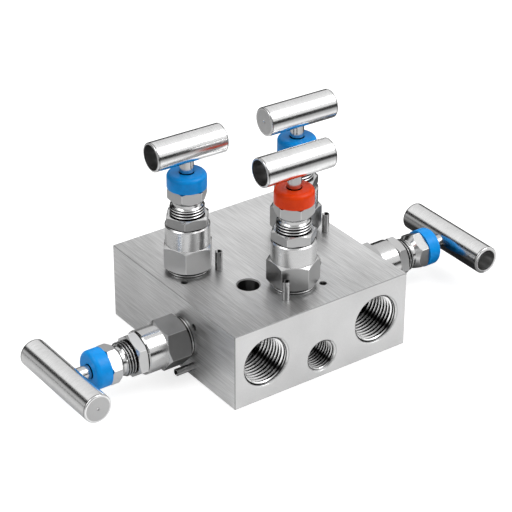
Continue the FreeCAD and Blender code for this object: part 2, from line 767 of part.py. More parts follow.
nodes = [make_block(), make_lock_pins(), make_gallery_plugs()]
for valve_name, valve_data in VALVES.items():
    nodes.append(make_bonnet(valve_name, valve_data))
    nodes.append(make_ring(f"{valve_name}_packing", valve_data, "packing_floor",
                           "packing_box_radius - fit_clearance", "packing_height"))
    nodes.append(make_ring(f"{valve_name}_gland", valve_data, "packing_floor + packing_height",
                           "packing_box_radius - fit_clearance", "gland_height"))
    nodes.append(make_packing_bolt(valve_name, valve_data))
    nodes.append(make_lock_nut(valve_name, valve_data))
    nodes.append(make_dust_cap(valve_name, valve_data))
    nodes.append(make_needle(valve_name, valve_data))
    nodes.append(make_stem(valve_name, valve_data))
    t_bar = make_t_bar(valve_name, valve_data)
    lay_bar(t_bar, valve_data, f"(-{valve_data['bar']}_bar_length / 2)")
    nodes.append(t_bar)
    nodes.append(make_handle_screw(valve_name, valve_data))
doc.recompute()

for item in doc.Objects:
    if "Invalid" in item.State or "Error" in item.State:
        raise RuntimeError(f"{item.Name} did not build: {item.State}")
for node in nodes:
    if node.Shape.isNull() or not node.Shape.isValid():
        raise RuntimeError(f"{node.Label} has no valid shape")

os.makedirs("parts", exist_ok=True)
for node in nodes:
    node.Shape.exportStep(f"parts/{node.Label}.step")
    print(node.Label, len(node.Shape.Solids), round(node.Shape.Volume, 2))
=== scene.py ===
# %% [markdown]
# # An instrument valve manifold
# A manifold is one steel block with needle valves screwed into it. Everything that has a
# size is already made, so this lesson is about looks: what stainless steel and moulded
# plastic do with light, the screw threads that show, and a studio that flatters metal.

import json
import math

import bmesh
import bpy
from mathutils import Matrix, Vector


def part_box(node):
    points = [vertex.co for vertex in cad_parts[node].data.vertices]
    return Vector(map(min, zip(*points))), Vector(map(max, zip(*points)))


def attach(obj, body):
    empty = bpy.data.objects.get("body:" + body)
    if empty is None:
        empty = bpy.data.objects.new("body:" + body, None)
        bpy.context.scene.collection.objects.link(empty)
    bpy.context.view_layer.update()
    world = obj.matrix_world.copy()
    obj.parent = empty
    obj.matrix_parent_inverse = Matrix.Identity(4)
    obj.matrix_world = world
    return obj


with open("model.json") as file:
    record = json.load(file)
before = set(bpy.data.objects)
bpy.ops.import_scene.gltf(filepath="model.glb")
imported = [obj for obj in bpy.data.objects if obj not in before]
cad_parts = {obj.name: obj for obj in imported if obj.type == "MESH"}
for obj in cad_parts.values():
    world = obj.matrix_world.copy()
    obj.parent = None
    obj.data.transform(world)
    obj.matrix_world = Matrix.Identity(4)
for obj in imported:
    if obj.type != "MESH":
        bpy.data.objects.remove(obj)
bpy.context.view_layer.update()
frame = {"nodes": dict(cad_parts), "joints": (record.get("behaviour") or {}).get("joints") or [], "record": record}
nodes = frame["nodes"]
MM = 0.001

# %% [markdown]
# ## Where the valves are
# Each handle's hinge already holds its valve's axis: a point on it and its direction. The
# foot of a valve is where that axis meets the block's face, and every turned piece of the
# valve is measured from there.

# %% Find each valve's foot and axis
block_low, block_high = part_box("block")
valves = {}
for joint in frame["joints"]:
    if joint["name"].endswith("_handle_turn"):
        axis = Vector(joint["axis"])
        foot = Vector(joint["pos_m"])
        for i in range(3):
            if axis[i] > 0.5:
                foot[i] = block_high[i]
            elif axis[i] < -0.5:
                foot[i] = block_low[i]
        valves[joint["name"].removesuffix("_handle_turn")] = (foot, axis)
print({name: [round(part / MM, 1) for part in foot] for name, (foot, axis) in valves.items()})


def on_top(name):
    """Whether a valve stands on the block's top, and not on a side."""
    return valves[name][1].z > 0.5


# %% [markdown]
# ## Shader maths as Python
# A steel surface is a handful of noise patterns added and scaled. Written as nodes by hand
# that is a wall of code, so one small class wraps a socket: `1 - mask * 0.3` then adds the
# Math nodes by itself. Every other node comes from the graph's one `add` method.


# %% A wrapped socket and a node graph
class Wire:
    """A node's output. Arithmetic on it adds Math nodes."""

    def __init__(self, graph, socket):
        self.graph = graph
        self.socket = socket

    def math(self, operation, first, second=0.0):
        return self.graph.add("ShaderNodeMath", "Value", {"operation": operation}, {0: first, 1: second})

    def __add__(self, other):
        return self.math("ADD", self, other)

    __radd__ = __add__

    def __sub__(self, other):
        return self.math("SUBTRACT", self, other)

    def __rsub__(self, other):
        return self.math("SUBTRACT", other, self)

    def __mul__(self, other):
        return self.math("MULTIPLY", self, other)

    __rmul__ = __mul__

    def __abs__(self):
        return self.math("ABSOLUTE", self)

    def larger(self, other):
        return self.math("MAXIMUM", self, other)

    def smaller(self, other):
        return self.math("MINIMUM", self, other)

    def root(self):
        return self.math("SQRT", self)

    def step(self, low, high):
        """0 below low, 1 above high, and smooth between."""
        settings = {"interpolation_type": "SMOOTHSTEP"}
        inputs = {"Value": self, "From Min": low, "From Max": high}
        return self.graph.add("ShaderNodeMapRange", "Result", settings, inputs)

    def between(self, low, high, edge):
        """1 from low to high, with edges of a width."""
        return self.step(low - edge, low) * (1.0 - self.step(high, high + edge))


class Graph:
    """A node tree to which nodes are added by type, output, settings and inputs."""

    def __init__(self, tree):
        self.tree = tree
        self.tree.nodes.clear()

    def add(self, kind, output, settings=None, inputs=None):
        """The chosen output of a new node, whose settings are made before its inputs."""
        node = self.tree.nodes.new(kind)
        for key, value in (settings or {}).items():
            if key == "stops":
                set_stops(node.color_ramp, value)
            else:
                setattr(node, key, value)
        for key, value in (inputs or {}).items():
            if isinstance(value, Wire):
                self.tree.links.new(value.socket, node.inputs[key])
            else:
                node.inputs[key].default_value = value
        return Wire(self, node.outputs[output])

    def parts(self, vector):
        """The three numbers of a vector."""
        node = self.tree.nodes.new("ShaderNodeSeparateXYZ")
        self.tree.links.new(vector.socket, node.inputs[0])
        return [Wire(self, output) for output in node.outputs]

    def vector(self, x, y, z):
        return self.add("ShaderNodeCombineXYZ", "Vector", None, {0: x, 1: y, 2: z})

    def mix(self, factor, first, second):
        """A colour between two colours."""
        settings = {"data_type": "RGBA"}
        return self.add("ShaderNodeMix", 2, settings, {0: factor, 6: first, 7: second})

    def noise(self, vector, scale, detail=2.0):
        inputs = {"Vector": vector, "Scale": scale, "Detail": detail}
        return self.add("ShaderNodeTexNoise", 0, None, inputs)


def set_stops(ramp, stops):
    """Give a colour ramp its stops, each a position and a colour."""
    while len(ramp.elements) > 1:
        ramp.elements.remove(ramp.elements[0])
    ramp.elements[0].position, ramp.elements[0].color = stops[0]
    for position, color in stops[1:]:
        ramp.elements.new(position).color = color


def grey(level):
    return (level, level, level, 1.0)


# %% [markdown]
# ## Metal and plastic share one start
# Both are a Principled surface. Numbers that are the same all over are set on its own
# sockets; what varies arrives as a link. Patterns read Object coordinates, so they stay
# on the piece when it moves.


# %% Start a finish
class Finish(Graph):
    """A material: its pattern coordinates, and a Principled surface to fill in."""

    def __init__(self, name, plain):
        self.material = bpy.data.materials.new(name)
        self.material.use_nodes = True
        super().__init__(self.material.node_tree)
        self.place = self.add("ShaderNodeTexCoord", "Object")
        self.plain = plain

    def offset(self, point):
        """How far the surface is from a point, as a vector."""
        return self.add("ShaderNodeVectorMath", "Vector", {"operation": "SUBTRACT"},
                        {0: self.place, 1: tuple(point)})

    def surface(self, color, roughness, bump=None, bump_height=0.0):
        inputs = {**self.plain, "Base Color": color, "Roughness": roughness}
        if bump is not None:
            inputs["Normal"] = self.add("ShaderNodeBump", "Normal", None,
                                        {"Strength": 1.0, "Distance": bump_height, "Height": bump})
        shader = self.add("ShaderNodeBsdfPrincipled", "BSDF", None, inputs)
        output = self.tree.nodes.new("ShaderNodeOutputMaterial")
        self.tree.links.new(shader.socket, output.inputs["Surface"])
        return self.material


METAL = {"Metallic": 1.0}


def wear(node, material):
    """Give a CAD node or a new piece its one material."""
    thing = nodes[node] if isinstance(node, str) else node
    thing.data.materials.clear()
    thing.data.materials.append(material)


# %% [markdown]
# ## The block: brushed bar stock
# The block is cut from drawn bar and its long faces are finished on a belt that runs front
# to back, so the scratches are lines along Y. A noise pattern that is stretched far along
# Y draws them: coarse streaks that the eye sees and fine ones that only soften reflections.
# The sawn and milled front and rear faces are smooth and satin instead. The top has painted
# shade towards the front and the left, and the long faces have painted light towards the right.
#
# Masks place the rest, so that one finish does for the whole block. The surface's normal
# tells an eased edge from a face: edges are a dull grey, but the mouths of the ports are
# bright. Whatever lies deeper than a thin skin under the block's six faces is a hole, and
# it is painted dark as shade.

# %% The ports, and a mask round an axis
ports = [mount for mount in frame["record"]["mounts"] if mount["kind"] == "threaded_hole"]
front_ports = [port for port in ports if port["axis"][1] < 0]
print("ports:", [port["name"] for port in ports])


def inside(first, second, radius):
    """1 within a radius of an axis, from the two distances across it."""
    return 1.0 - (first * first + second * second).root().step(radius, radius * 1.01)


# %% Brushed steel
RIM_WIDTH = 1.0 * MM
SKIN = 0.5 * MM
FACING = (0.5, 0.9)
FINE_LINES = 5200.0
COARSE_LINES = 2300.0
SCRATCH_DEPTH = 0.012 * MM


def port_rims(x, z):
    """1 round each front port's axis; the rear ports lie on the same axes."""
    return sum(inside(x - port["pos_m"][0], z - port["pos_m"][2], port["dims"]["r_mm"] * MM + RIM_WIDTH)
               for port in front_ports)


def brushed_block():
    finish = Finish("brushed_block_steel", METAL)
    x, y, z = finish.parts(finish.place)
    fine = finish.noise(finish.vector(x, y * 0.02, z), scale=FINE_LINES, detail=3.0)
    coarse = finish.noise(finish.vector(x, y * 0.035, z), scale=COARSE_LINES)
    cloud = finish.noise(finish.place, scale=45.0)
    normal = finish.parts(finish.add("ShaderNodeTexCoord", "Normal"))
    milled = abs(normal[1]).step(*FACING)
    eased = abs(normal[0]).larger(abs(normal[1])).larger(abs(normal[2])).between(*FACING, 0.05)
    half_height = block_high.z / 2
    above_or_below = half_height - abs(z - half_height)
    buried = (block_high.x - abs(x)).smaller(block_high.y - abs(y)).smaller(above_or_below)
    # the holes, which are painted dark as shade
    drilled = buried.step(SKIN, 1.5 * SKIN)
    brushing = (fine * 0.5 + coarse * 0.5 - 0.5) * (1.0 - milled * 0.85)
    # painted shade on the top towards the left and the front, and painted light on the rest of the top
    painted_shade_left = (0.0 - x).step(10.0 * MM, 45.0 * MM) * 0.35
    painted_shade_front = (0.0 - y).step(10.0 * MM, 40.0 * MM) * 0.3
    painted_top_light_and_shade = (painted_shade_left + painted_shade_front - 0.08) * normal[2].step(*FACING)
    # painted light: the long faces are lighter towards the right
    painted_light_right = (x * 2.5 + 0.17) * (1.0 - milled)
    tone = brushing * 1.9 + (cloud - 0.5) * 0.4 + painted_light_right - painted_top_light_and_shade + 0.46
    color = finish.mix(tone, grey(0.42), grey(0.88))
    edged = finish.mix(eased, color, grey(0.45))
    rimmed = finish.mix(port_rims(x, z) * eased, edged, grey(0.75))
    dark = finish.mix(drilled, rimmed, grey(0.16))
    roughness = 0.4 + brushing * 0.4 + eased * 0.4
    return finish.surface(dark, roughness, brushing, SCRATCH_DEPTH)


wear("block", brushed_block())
print("block finish:", len(nodes["block"].active_material.node_tree.nodes), "nodes")

# %% [markdown]
# ## Turned pieces
# Bonnets, bolts, nuts and stems come off a lathe. Their cylinders carry rings so fine that
# they only stretch a highlight along the axis, while a hexagon is left as drawn: flat,
# dull and darker. Each valve's flats get their own grey, painted as light and shade, with a
# painted highlight along their corners. One function makes the finish for a piece of a
# valve, because the rings must follow that valve's own axis; the distance from the axis
# tells a hexagon from a barrel. Where two pieces meet, shade is painted in, so each finish
# also takes the heights at which its piece is painted dark. The bonnets on top are satin,
# and all the rest is smoother.


# %% Where a point is on a turned piece
def main_part(axis):
    """Which of X, Y and Z an axis runs along, as 0, 1 or 2."""
    return max(range(3), key=lambda i: abs(axis[i]))


def along_and_out(finish, foot, axis):
    """How far a point is along an axis from its foot, and how far out from the axis."""
    parts = finish.parts(finish.offset(foot))
    along = parts.pop(main_part(axis)) * axis[main_part(axis)]
    return along, (parts[0] * parts[0] + parts[1] * parts[1]).root()


# %% Turned steel, one finish for each piece of a valve
SMOOTH_ROUGHNESS = 0.17
SATIN_ROUGHNESS = 0.26
FLATS_ROUGHNESS = 0.33
PAINTED_SHADE_EDGE = 0.12 * MM
RING_DEPTH = 0.002 * MM


def turned_steel(name, foot, axis, hexagon=None, painted_shade=(), turned_roughness=SMOOTH_ROUGHNESS):
    """A finish in mm: hexagon is how far out the flats begin and their corners stand, and the
    flats' grey, painted as light and shade; painted_shade is the heights, from and to, at which
    shade is painted dark on the piece."""
    finish = Finish(f"{name}_steel", METAL)
    along, out = along_and_out(finish, foot, axis)
    rings = finish.noise(finish.vector(along, out * 0.2, 0.0), scale=FINE_LINES) - 0.5
    cloud = finish.noise(finish.place, scale=180.0) - 0.5
    color = finish.mix(0.5 + rings * 0.5 + cloud * 0.3, grey(0.5), grey(0.7))
    roughness = turned_roughness + rings * 0.06 + cloud * 0.05
    if hexagon is not None:
        flats_from, corner, painted_flat_grey = hexagon
        facing_end = abs(finish.parts(finish.add("ShaderNodeTexCoord", "Normal"))[main_part(axis)])
        flats = out.step(flats_from * MM, (flats_from + 0.04) * MM) * (1.0 - facing_end.step(0.1, 0.3))
        # a painted highlight along the hexagon's corners
        edge = out.step((corner - 0.14) * MM, (corner - 0.04) * MM)
        flat = finish.mix(cloud + 0.5, grey(painted_flat_grey - 0.03), grey(painted_flat_grey + 0.03))
        color = finish.mix(flats, color, finish.mix(edge, flat, grey(painted_flat_grey + 0.2)))
        roughness = roughness + flats * (FLATS_ROUGHNESS - turned_roughness)
    # painted shade: a dark band where two pieces meet
    for low, high in painted_shade:
        color = finish.mix(along.between(low * MM, high * MM, PAINTED_SHADE_EDGE), color, grey(0.03))
    return finish.surface(color, roughness, rings, RING_DEPTH)


# %% Finish the turned pieces
TURNED = ("bonnet", "packing_bolt", "lock_nut", "stem", "gland", "needle")
HEXAGONS = {"bonnet": (9.15, 10.74), "packing_bolt": (7.03, 8.2), "lock_nut": (7.3, 9.3)}
# heights along each piece at which shade is painted dark
PAINTED_SHADE = {
    "bonnet": [(-1.0, 0.3), (0.85, 1.76)],
    "packing_bolt": [(24.0, 28.6)],
    "lock_nut": [(20.0, 20.95)],
    "stem": [(43.0, 43.6)],
}
# each valve's flats get a grey of their own, painted as light and shade
FLATS_PAINTED_GREY = {
    "left_isolate": {"bonnet": 0.25, "lock_nut": 0.6, "packing_bolt": 0.7},
    "right_isolate": {"bonnet": 0.5, "lock_nut": 0.6, "packing_bolt": 0.33},
    "left_equalize": {"bonnet": 0.46, "lock_nut": 0.34, "packing_bolt": 0.52},
    "right_equalize": {"bonnet": 0.42, "lock_nut": 0.42, "packing_bolt": 0.5},
    "vent": {"bonnet": 0.35, "lock_nut": 0.5, "packing_bolt": 0.5},
}
for name, (foot, axis) in valves.items():
    for piece in TURNED:
        hexagon = (*HEXAGONS[piece], FLATS_PAINTED_GREY[name][piece]) if piece in HEXAGONS else None
        roughness = SATIN_ROUGHNESS if piece == "bonnet" and on_top(name) else SMOOTH_ROUGHNESS
        wear(f"{name}_{piece}", turned_steel(f"{name}_{piece}", foot, axis, hexagon,
                                             PAINTED_SHADE.get(piece, ()), roughness))
print("turned finishes:", len(valves) * len(TURNED))

# %% [markdown]
# ## T-bar handles
# The bars are centreless-ground and polished: brighter and smoother than the rest, with
# faint scratches that run round the bar. Their end faces are plain, with a dark line near
# each rounded end. One end is bored out, and the bore is left as drilled, rougher and
# duller; the right_isolate bar's bore is painted lighter, as painted light, and its lower
# inner side carries painted shade. The top handles stand two degrees off square.

# %% Polished bar
TOP_HANDLE_TURN = math.radians(-2.0)
TOP_HANDLE_WAY = Vector((math.cos(TOP_HANDLE_TURN), math.sin(TOP_HANDLE_TURN), 0.0))
OPEN_END = {
    "left_isolate": Vector((0, 1, 0)),
    "right_isolate": Vector((0, -1, 0)),
    "left_equalize": -TOP_HANDLE_WAY,
    "right_equalize": TOP_HANDLE_WAY,
    "vent": -TOP_HANDLE_WAY,
}
SIDE_BORE_RADIUS = 4.7 * MM
TOP_BORE_RADIUS = 5.2 * MM
# the right_isolate bar's bore grey is raised as painted light; the others are dull as drilled
BORE_GREY_AND_PAINTED_LIGHT = {name: 0.85 if name == "right_isolate" else 0.55 for name in valves}
BAR_WEB = 5.0 * MM
END_FACE_RADIUS = 5.0 * MM
SEAM_FROM_END = (0.85 * MM, 0.55 * MM)
GRIND_DEPTH = 0.004 * MM


def polished_bar(name):
    """A finish whose scratches and bore follow the bar's own axis."""
    way = OPEN_END[name]
    low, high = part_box(f"{name}_t_bar")
    side = Vector((-way.y, way.x, 0.0))
    finish = Finish(f"{name}_polished_bar", METAL)
    x, y, z = finish.parts(finish.offset((low + high) / 2))
    along = x * way.x + y * way.y
    across = x * side.x + y * side.y
    out = (across * across + z * z).root()
    bore_radius = TOP_BORE_RADIUS if on_top(name) else SIDE_BORE_RADIUS
    in_bore = 1.0 - out.step(bore_radius + 0.1 * MM, bore_radius + 0.2 * MM)
    bored = in_bore * along.step(BAR_WEB, BAR_WEB * 1.1)
    grind = finish.noise(finish.vector(along, across * 0.12, z * 0.12), scale=3600.0) - 0.5
    cloud = finish.noise(finish.place, scale=140.0) - 0.5
    half = max(high[i] - low[i] for i in range(3)) / 2
    in_face = 1.0 - out.step(END_FACE_RADIUS, END_FACE_RADIUS + 0.3 * MM)
    faced = abs(along).step(half - 0.3 * MM, half - 0.1 * MM) * in_face
    seam = abs(along).between(half - SEAM_FROM_END[0], half - SEAM_FROM_END[1], 0.15 * MM)
    polished = finish.mix(0.5 + grind * 0.7 + cloud * 0.4, grey(0.64), grey(0.95))
    polished = finish.mix(faced, polished, grey(0.46))
    polished = finish.mix(seam * 0.65, polished, grey(0.05))
    if name == "right_isolate":
        # This bar has painted shade on its lower inner side, the side that faces the block
        facing_block = 1.0 - across.step(-1.0 * MM, 0.0)
        painted_shade_below = (1.0 - z.step(1.0 * MM, 3.5 * MM)) * facing_block
        polished = finish.mix(painted_shade_below, polished, grey(0.2))
    color = finish.mix(bored, polished, grey(BORE_GREY_AND_PAINTED_LIGHT[name]))
    roughness = 0.2 + grind * 0.06 + cloud * 0.05 + bored * 0.1 + faced * 0.15
    return finish.surface(color, roughness, grind, GRIND_DEPTH)


for name in valves:
    bar_finish = polished_bar(name)
    wear(f"{name}_t_bar", bar_finish)
    wear(f"{name}_handle_screw", bar_finish)
print("bars on top:", [name for name in valves if on_top(name)])

# %% [markdown]
# ## Plastic dust caps
# The caps are moulded in a hard plastic with a soft gloss: blue on the valves of the line,
# orange-red on the vent. Moulding leaves a fine orange-peel skin, so the highlight is a
# little uneven. The packing inside is white PTFE, which is duller.

# %% Moulded plastic and the soft packing
PEEL_DEPTH = 0.008 * MM


def moulded(name, light, dark, roughness):
    finish = Finish(name, {"IOR": 1.3})
    cloud = finish.noise(finish.place, scale=420.0, detail=3.0)
    peel = finish.noise(finish.place, scale=2600.0)
    color = finish.mix(cloud.step(0.3, 0.7), dark, light)
    return finish.surface(color, roughness + (cloud - 0.5) * 0.12, peel, PEEL_DEPTH)


blue_plastic = moulded("blue_plastic", (0.001, 0.31, 0.84, 1), (0.001, 0.275, 0.76, 1), 0.32)
red_plastic = moulded("red_plastic", (0.87, 0.058, 0.001, 1), (0.8, 0.047, 0.001, 1), 0.32)
white_packing = moulded("white_packing", (0.84, 0.84, 0.82, 1), (0.76, 0.76, 0.74, 1), 0.5)
for name in valves:
    wear(f"{name}_dust_cap", red_plastic if name == "vent" else blue_plastic)
    wear(f"{name}_packing", white_packing)
print("caps:", {name: nodes[f"{name}_dust_cap"].active_material.name for name in valves})

# %% [markdown]
# ## Spring pins and plugs
# The lock pins are rolled from spring steel and left dark from hardening; the plugs are
# plain steel and paler. A blotchy noise is all that such small pieces can show.


# %% Dark spring steel
def spring_steel(name, low, high, roughness):
    finish = Finish(name, METAL)
    blotch = finish.noise(finish.place, scale=300.0)
    color = finish.mix(blotch, grey(low), grey(high))
    return finish.surface(color, roughness + (blotch - 0.5) * 0.2)


wear("lock_pins", spring_steel("spring_pin_steel", 0.26, 0.42, 0.2))
wear("gallery_plugs", spring_steel("plug_steel", 0.4, 0.75, 0.25))
print("pins and plugs:", [nodes[name].active_material.name for name in ("lock_pins", "gallery_plugs")])

# %% [markdown]
# ## Screw threads
# A thread is one ridge wound round a cylinder, and the CAD model leaves it out because
# nothing turns in it. By hand: add a plane, stand it up beside the axis, narrow its outer
# edge into a ridge's section and let the Screw modifier turn and lift it at once. It is
# wound a turn too far at both ends, then bisected and filled, so its ends are flat. The
# fill is coarse: it closes the hollow inside the ridge too, with a flat disc.
#
# Its finish reads how high a point stands on the ridge: crests are rubbed bright and roots
# are painted dark as shade. A port's mouth is painted light all over, and behind the front
# ports' mouths a dark reflection is painted along one side.

# %% A cut thread's finish
# the dark painted into thread roots as shade and along a port's side as a reflection
THREAD_PAINTED_DARK = 0.01
MOUTH_LIT_GREY = 0.7
MOUTH_ENDS = (0.5 * MM, 0.9 * MM)


def cut_thread(name, foot, axis, root, crest, bright, dark_reflection_side=None):
    """A thread's finish from its foot, axis, two radii and the grey of its crest; dark_reflection_side
    is the way to the side of a port where a dark reflection is painted."""
    finish = Finish(f"{name}_cut", METAL)
    along, out = along_and_out(finish, foot, axis)
    height = (out - root) * (1.0 / (crest - root))
    cloud = finish.noise(finish.place, scale=700.0) - 0.5
    # roots painted dark as shade, crests their own grey
    color = finish.mix(height.step(0.45, 0.62), grey(THREAD_PAINTED_DARK), grey(bright))
    if root > crest:
        # the mouth painted a light grey, as lit
        color = finish.mix(along.step(*MOUTH_ENDS), grey(MOUTH_LIT_GREY), color)
    if dark_reflection_side is not None:
        x, _, z = finish.parts(finish.offset(foot))
        toward = x * dark_reflection_side.x + z * dark_reflection_side.z
        aside = abs(x * dark_reflection_side.z - z * dark_reflection_side.x)
        # a painted dark reflection along one side of a front port
        painted_reflection = toward.step(0.0, 2.0 * MM) * (1.0 - aside.step(0.02 * root, 0.24 * root))
        color = finish.mix(along.step(*MOUTH_ENDS) * painted_reflection * 0.95, color, grey(THREAD_PAINTED_DARK))
    return finish.surface(color, 0.26 + cloud * 0.1)


# %% Helpers for edit mode
def pick(test):
    """Select the vertices whose place passes a test."""
    mesh = bmesh.from_edit_mesh(bpy.context.object.data)
    for vertex in mesh.verts:
        vertex.select = test(vertex.co)
    mesh.select_flush_mode()
    bmesh.update_edit_mesh(bpy.context.object.data)


def trim(height, keep_above):
    """Cut the whole mesh level at a height, fill the cut and keep one side."""
    bpy.ops.mesh.select_all(action="SELECT")
    bpy.ops.mesh.bisect(plane_co=(0, 0, height), plane_no=(0, 0, 1), use_fill=True,
                        clear_inner=keep_above, clear_outer=not keep_above)


# %% Wind one ridge
FOOT_SHARE = 0.9
CREST_SHARE = 0.06
SUNK_SHARE = 0.1
STEPS_IN_A_TURN = 72
SMOOTH_ANGLE = math.radians(35)


def wind_ridge(name, root, crest, pitch, length):
    """A ridge round the Z axis from z = 0 to length, from the root radius to the crest's."""
    bpy.ops.object.select_all(action="DESELECT")
    bpy.ops.mesh.primitive_plane_add(size=1, rotation=(math.radians(90), 0, 0))
    ridge = bpy.context.object
    ridge.name = ridge.data.name = name
    bpy.ops.object.transform_apply(location=False, rotation=True, scale=False)
    sunk = SUNK_SHARE * (crest - root)
    bpy.ops.object.mode_set(mode="EDIT")
    bpy.ops.transform.resize(value=(abs(crest - root + sunk), 1, FOOT_SHARE * pitch))
    bpy.ops.transform.translate(value=((crest + root - sunk) / 2, 0, -pitch / 2))
    pick(lambda place: abs(place.x - crest) < abs(place.x - root))
    bpy.ops.transform.resize(value=(1, 1, CREST_SHARE / FOOT_SHARE),
                             center_override=(crest, 0, -pitch / 2))
    bpy.ops.mesh.select_all(action="SELECT")
    bpy.ops.mesh.delete(type="ONLY_FACE")
    bpy.ops.object.mode_set(mode="OBJECT")
    screw = ridge.modifiers.new("wind", "SCREW")
    screw.axis = "Z"
    screw.screw_offset = pitch
    screw.iterations = math.ceil(length / pitch) + 2
    screw.steps = screw.render_steps = STEPS_IN_A_TURN
    bpy.ops.object.modifier_apply(modifier="wind")
    bpy.ops.object.mode_set(mode="EDIT")
    trim(0, True)
    trim(length, False)
    bpy.ops.mesh.select_all(action="SELECT")
    bpy.ops.mesh.normals_make_consistent(inside=False)
    bpy.ops.object.mode_set(mode="OBJECT")
    bpy.ops.object.shade_smooth_by_angle(angle=SMOOTH_ANGLE)
    return ridge


def stand_copy(piece, name, foot, axis, body, material):
    """A copy of a piece that was made about Z, stood on an axis and handed to its body."""
    copy = piece.copy()
    copy.data = piece.data.copy()
    copy.name = copy.data.name = name
    bpy.context.scene.collection.objects.link(copy)
    turn = Vector((0, 0, 1)).rotation_difference(axis).to_matrix().to_4x4()
    copy.data.transform(Matrix.Translation(foot) @ turn)
    wear(copy, material)
    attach(copy, body)


# %% [markdown]
# ### The packing bolts' thread
# Between the lock nut and the neck almost three turns show, above a gap painted dark as shade.

# %% Bolt threads
BOLT_ROOT = 6.5 * MM
BOLT_CREST = 7.07 * MM
BOLT_PITCH = 1.25 * MM
THREAD_SHOWN = 3.4 * MM
THREAD_ABOVE_NUT = 0.4 * MM
BOLT_THREAD_GREY = 0.5
bolt_ridge = wind_ridge("bolt_ridge", BOLT_ROOT, BOLT_CREST, BOLT_PITCH, THREAD_SHOWN)
print("bolt ridge:", len(bolt_ridge.data.polygons), "faces")
for name, (foot, axis) in valves.items():
    nut_low, nut_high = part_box(f"{name}_lock_nut")
    nut_top = max((nut_low - foot).dot(axis), (nut_high - foot).dot(axis))
    thread_finish = cut_thread(f"{name}_bolt_thread", foot, axis, BOLT_ROOT, BOLT_CREST, BOLT_THREAD_GREY)
    stand_copy(bolt_ridge, f"{name}_bolt_thread", foot + axis * (nut_top + THREAD_ABOVE_NUT), axis,
               "manifold", thread_finish)
bpy.data.objects.remove(bolt_ridge)

# %% [markdown]
# ### The ports' pipe threads
# Taper pipe thread: 14 turns to the inch in the large ports and 18 in the vent port. The
# record gives each port's place, radius and depth. A countersink opens the first turns of
# a real port so that a pipe can find them, so a cone is cut out of the ridge as well. The
# disc at its inner end hides the floor of the port, a few millimetres further in. Each
# size is made once, from its turns to the inch, its ridge's height and its crest's grey.

# %% Port threads
INCH = 25.4 * MM
PORT_THREADS = {"half_inch": (14, 1.3 * MM, 0.95), "quarter_inch": (18, 1.0 * MM, 0.6)}
LEAST_HALF_INCH_RADIUS = 8.0 * MM
THREADED_SHARE = 0.8
COUNTERSINK_SHARE = 0.7
# the way to the side of the front ports where a dark reflection is painted
DARK_REFLECTION_SIDE = Vector((0.743, 0.0, -0.669))


def port_ridge(name, radius, length, turns_to_the_inch, height):
    """A pipe thread's ridge inside a port of a radius, opened by a 45 degree countersink."""
    ridge = wind_ridge(name, radius, radius - height, INCH / turns_to_the_inch, length)
    bpy.ops.object.select_all(action="DESELECT")
    wide = radius + height
    bpy.ops.mesh.primitive_cone_add(vertices=96, radius1=wide, radius2=0, depth=wide,
                                    location=(0, 0, wide / 2 - COUNTERSINK_SHARE * height))
    cone = bpy.context.object
    bpy.ops.object.select_all(action="DESELECT")
    ridge.select_set(True)
    bpy.context.view_layer.objects.active = ridge
    opened = ridge.modifiers.new("countersink", "BOOLEAN")
    opened.operation = "DIFFERENCE"
    opened.object = cone
    bpy.ops.object.modifier_apply(modifier="countersink")
    bpy.data.objects.remove(cone)
    bpy.ops.object.shade_smooth_by_angle(angle=SMOOTH_ANGLE)
    return ridge


ridges = {}
for port in ports:
    outward = Vector(port["axis"])
    mouth = Vector(port["pos_m"])
    mouth.y = block_high.y if outward.y > 0 else block_low.y
    radius = port["dims"]["r_mm"] * MM
    size = "half_inch" if radius > LEAST_HALF_INCH_RADIUS else "quarter_inch"
    turns_to_the_inch, height, bright = PORT_THREADS[size]
    if size not in ridges:
        length = THREADED_SHARE * port["dims"]["length_mm"] * MM
        ridges[size] = port_ridge(f"{size}_ridge", radius, length, turns_to_the_inch, height)
    thread_finish = cut_thread(port["name"], mouth, -outward, radius, radius - height, bright,
                               DARK_REFLECTION_SIDE if port in front_ports else None)
    stand_copy(ridges[size], f"{port['name']}_thread", mouth, -outward, "manifold",
               thread_finish)
print("port ridges:", {size: len(ridge.data.polygons) for size, ridge in ridges.items()}, "faces")
for ridge in ridges.values():
    bpy.data.objects.remove(ridge)

# %% [markdown]
# ## The studio
# Metal shows what is around it, so the room is part of the material. The world is a white
# tent with a dark gap between tent and floor: that gap draws the crisp black stripe on a
# polished bar. The gap hangs higher on the left. The tent is dim where the camera stands,
# as it is in a real studio, and a light grey across from there.

# %% World
TO_CAMERA = Vector((-0.503, -0.703, 0.501))
GAP_SLOPE = Vector((-0.321, 0.0385, 0.0))
GAP_HEIGHT = 0.233
BEHIND = Vector((0.58, 0.81, 0.0))
TENT_STOPS = [
    (0.0, grey(0.5)),
    (0.28, grey(0.5)),
    (0.36, grey(0.01)),
    (0.62, grey(0.01)),
    (0.67, grey(0.95)),
    (1.0, grey(1.0)),
]


